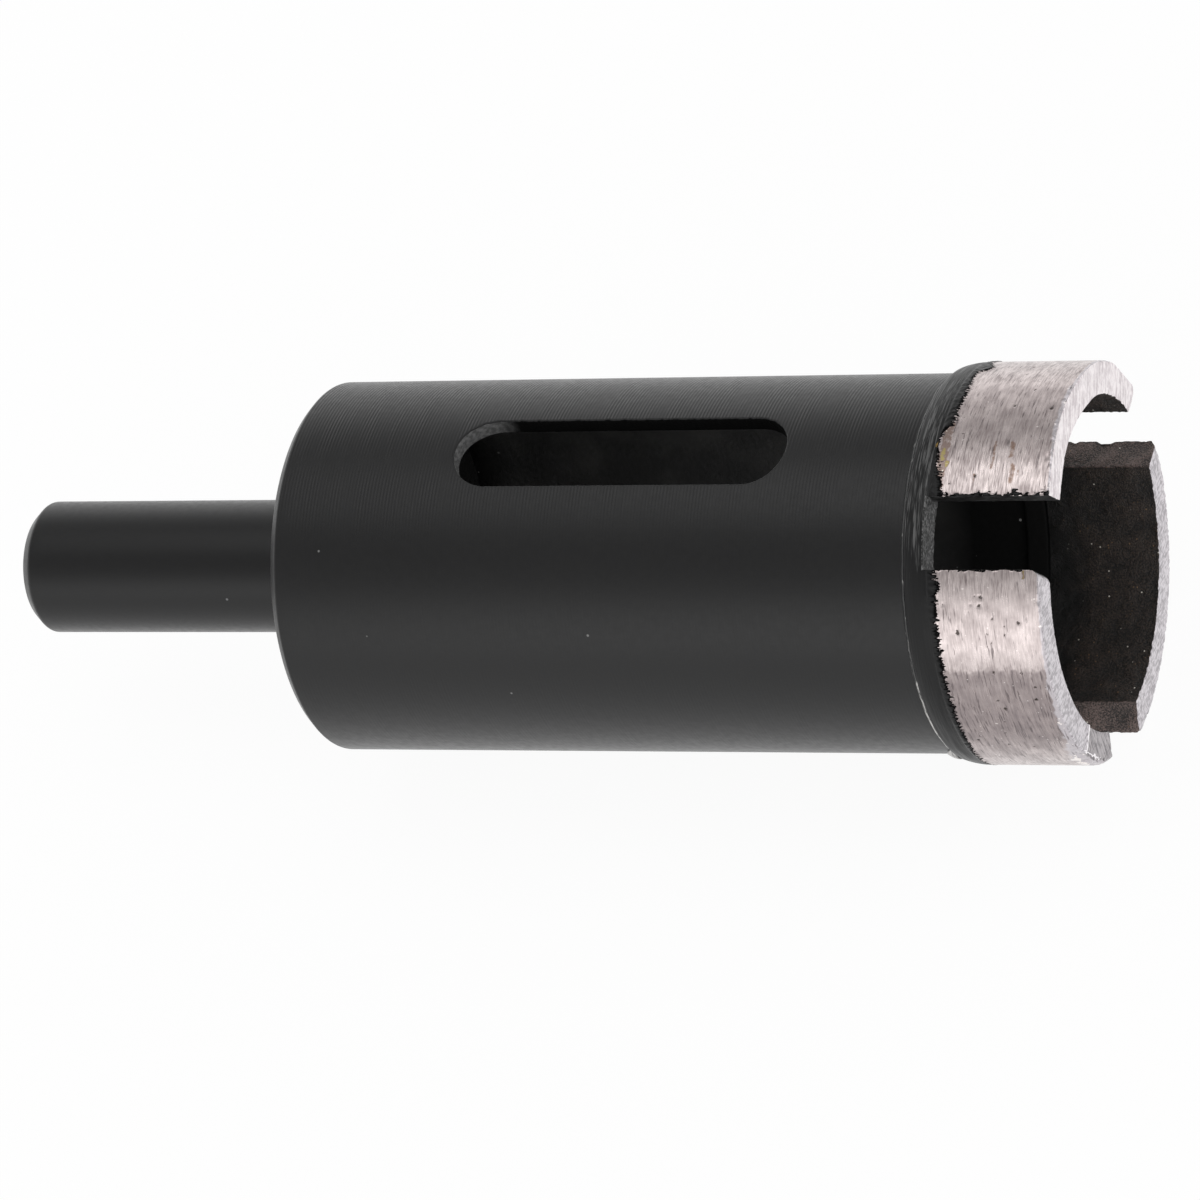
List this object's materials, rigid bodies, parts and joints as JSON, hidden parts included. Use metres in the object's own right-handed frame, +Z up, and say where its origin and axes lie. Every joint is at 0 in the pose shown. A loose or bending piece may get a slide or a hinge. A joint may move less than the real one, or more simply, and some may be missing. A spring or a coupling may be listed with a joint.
{
  "type": "diamond core bit",
  "caption": "Diamond core bit: a steel tube with diamond segments round its mouth and a round shank, for drilling clean holes through stone, tile or concrete.",
  "frame": {"origin": "on the surface that the bit lies on, under the middle of its length", "axes": "+X along the bit's axis towards the cutting crown, +Z up"},
  "size_m": [0.082, 0.028, 0.028],
  "materials": {
    "shank_paint": "semi-matte black paint on turned steel",
    "barrel_paint": "semi-matte black paint over turning marks",
    "ring_paint": "scratched black paint on steel",
    "bead_braze": "braze dulled by paint",
    "segment_braze": "tarnished brass braze",
    "diamond_segment": "ground sintered metal with diamond grit"
  },
  "bodies": {
    "root": {"shank": "shank_paint", "barrel": "barrel_paint", "crown_ring": "ring_paint", "joint_bead": "bead_braze", "braze_top": "segment_braze", "braze_front": "segment_braze", "braze_bottom": "segment_braze", "segment_top": "diamond_segment", "segment_front": "diamond_segment", "segment_bottom": "diamond_segment"}
  },
  "joints": []
}
